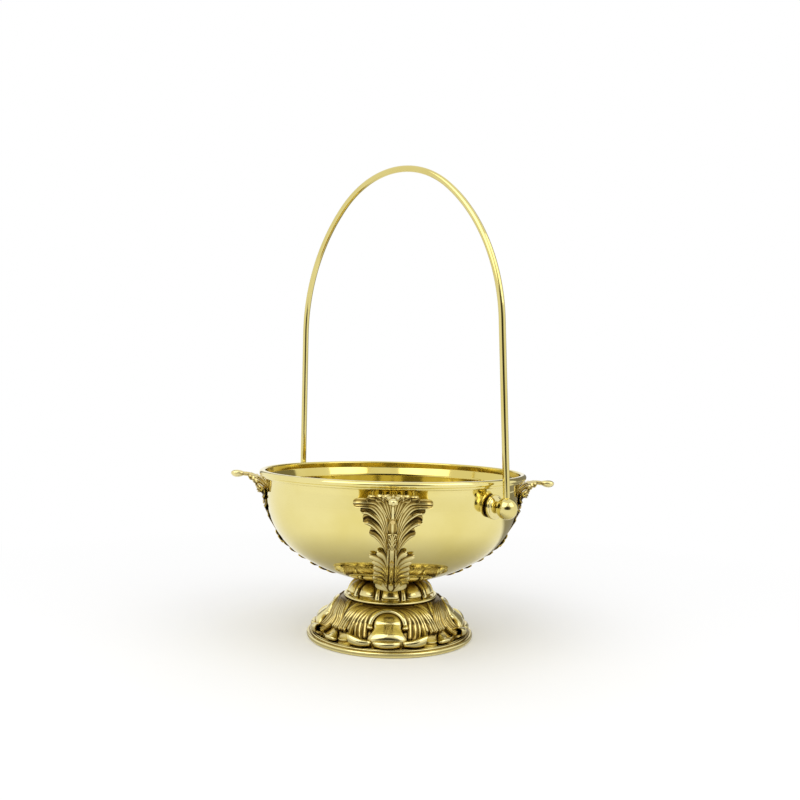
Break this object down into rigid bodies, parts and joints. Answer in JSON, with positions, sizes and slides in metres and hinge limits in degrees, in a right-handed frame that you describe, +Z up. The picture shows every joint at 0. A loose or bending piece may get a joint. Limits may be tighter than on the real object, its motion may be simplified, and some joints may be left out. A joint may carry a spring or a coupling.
{
  "type": "holy water pot",
  "caption": "Brass holy water pot: open bowl with cast acanthus leaves on a gadrooned knop and scrolled foot, carried by a swinging bail with ball ends.",
  "frame": {"origin": "middle of the foot's underside, on the surface that the pot stands on", "axes": "+Z up along the bowl's axis, the front leaf towards -Y, the pivots at 45 degrees between leaves"},
  "size_m": [0.2432, 0.2432, 0.3516],
  "materials": {
    "polished_brass": "polished",
    "antique_brass": "cast, antiqued dark in the recesses and bright on the high points",
    "turned_brass": "turned",
    "seal_rubber": "matt",
    "screw_steel": "satin"
  },
  "bodies": {
    "pot": {"bowl": "polished_brass", "leaf_front": "antique_brass", "leaf_right": "antique_brass", "leaf_back": "antique_brass", "leaf_left": "antique_brass", "knop": "antique_brass", "foot": "antique_brass", "pivot_boss_right": "polished_brass", "pivot_boss_left": "polished_brass", "pivot_pin_right": "turned_brass", "pivot_pin_left": "turned_brass", "pivot_nut_right": "turned_brass", "pivot_nut_left": "turned_brass", "pivot_seal_right": "seal_rubber", "pivot_seal_left": "seal_rubber", "leaf_screws": "turned_brass", "leaf_seals": "seal_rubber", "foot_bolt": "turned_brass", "foot_bolt_seal": "seal_rubber", "foot_washer": "turned_brass", "foot_nut": "turned_brass"},
    "bail": {"bail_rod": "polished_brass", "bail_ball_right": "polished_brass", "bail_ball_left": "polished_brass", "ball_screw_right": "screw_steel", "ball_screw_left": "screw_steel"}
  },
  "joints": [
    {"name": "bail_swing", "type": "hinge", "parent": "pot", "child": "bail", "pos_m": [0, 0, 0.1054], "axis": [0.7071, -0.7071, 0], "range_deg": [-111.8, 108.2]}
  ]
}
